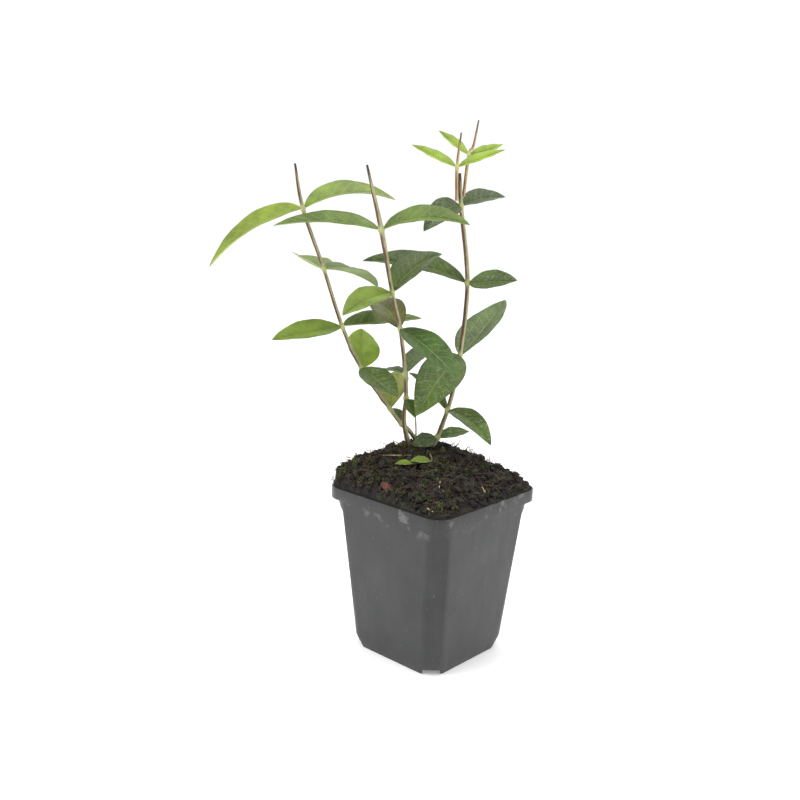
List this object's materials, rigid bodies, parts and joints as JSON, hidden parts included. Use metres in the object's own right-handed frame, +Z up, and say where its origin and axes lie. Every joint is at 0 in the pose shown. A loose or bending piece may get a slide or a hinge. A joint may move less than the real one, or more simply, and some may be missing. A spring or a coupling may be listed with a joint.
{
  "type": "potted flowering shrub",
  "caption": "Young leafy shrub with slender branching stems and paired pointed leaves, growing in a square tapered nursery pot filled with dark peat.",
  "frame": {"origin": "middle of the pot's flat underside", "axes": "+Z up; the pot's sides lie along X and Y, and its front corner in the picture is at +X -Y"},
  "size_m": [0.1642, 0.1545, 0.3091],
  "materials": {
    "pot_plastic": "satin",
    "peat": "rough",
    "stem_wood": "satin",
    "dry_wood": "rough",
    "leaf_top": "satin",
    "leaf_low": "satin"
  },
  "bodies": {
    "root": {"pot": "pot_plastic", "soil": "peat", "stem_left": "stem_wood", "stem_middle": "stem_wood", "stem_right": "stem_wood", "shoot_front": "stem_wood", "shoot_back": "stem_wood", "twig_dry": "dry_wood", "leaves_left_1": "leaf_top", "leaves_left_2": "leaf_low", "leaves_left_3": "leaf_low", "leaves_left_4": "leaf_low", "leaves_left_5": "leaf_low", "leaves_left_6": "leaf_low", "leaves_middle_1": "leaf_top", "leaves_middle_2": "leaf_low", "leaves_middle_3": "leaf_low", "leaves_middle_4": "leaf_low", "leaves_middle_5": "leaf_low", "leaves_right_2": "leaf_low", "leaves_right_3": "leaf_low", "leaves_right_4": "leaf_low", "leaves_right_5": "leaf_low", "leaves_right_6": "leaf_low", "leaves_front_1": "leaf_top", "leaves_back_1": "leaf_top", "sprig_low": "leaf_low"}
  },
  "joints": []
}
